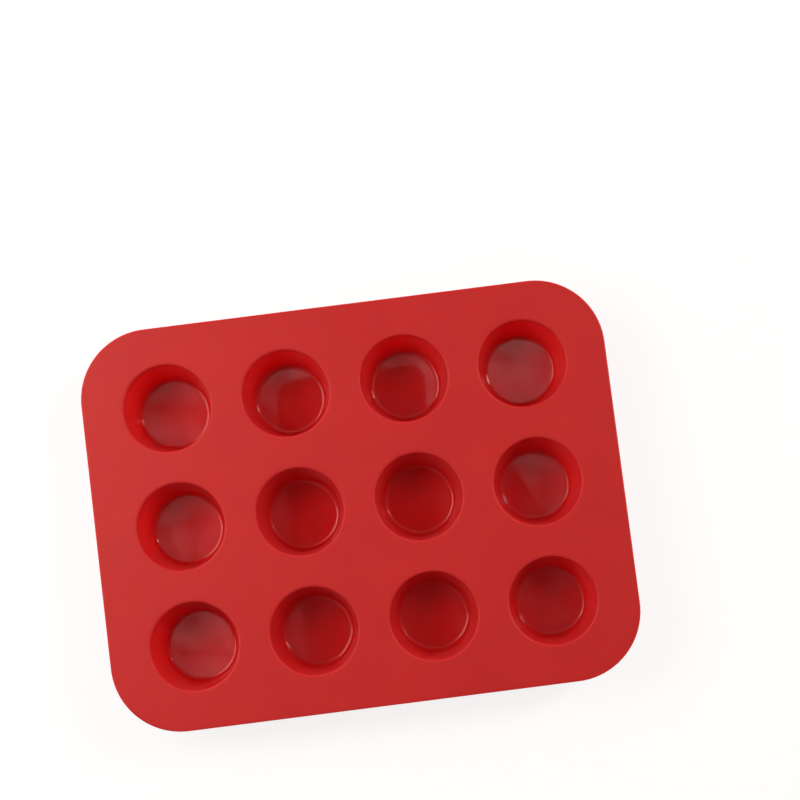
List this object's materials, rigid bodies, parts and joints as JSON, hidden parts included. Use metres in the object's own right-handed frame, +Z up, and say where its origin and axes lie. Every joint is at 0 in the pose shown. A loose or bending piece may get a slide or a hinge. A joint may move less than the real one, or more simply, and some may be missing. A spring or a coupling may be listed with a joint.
{
  "type": "cake mould",
  "caption": "Flexible silicone baking mould: a flat sheet with rounded corners and a beaded rim carries a grid of tapered round cups, open at the top, that stand on their flat bases.",
  "frame": {"origin": "on the surface that the cup bases stand on, under the middle of the tray", "axes": "+X along the four cups of a row, from column 1 to column 4; +Y along the three cups of a column, from row 3 to row 1; +Z up, out of the cups' mouths"},
  "size_m": [0.2566, 0.196, 0.028],
  "materials": {
    "silicone_deck": "red silicone, fine satin from the mould tool",
    "silicone_cup": "the same red silicone, polished glossy inside the cups"
  },
  "bodies": {
    "root": {"deck": "silicone_deck", "rim": "silicone_deck", "cup_r1_c1": "silicone_cup", "cup_r1_c2": "silicone_cup", "cup_r1_c3": "silicone_cup", "cup_r1_c4": "silicone_cup", "cup_r2_c1": "silicone_cup", "cup_r2_c2": "silicone_cup", "cup_r2_c3": "silicone_cup", "cup_r2_c4": "silicone_cup", "cup_r3_c1": "silicone_cup", "cup_r3_c2": "silicone_cup", "cup_r3_c3": "silicone_cup", "cup_r3_c4": "silicone_cup"}
  },
  "joints": []
}
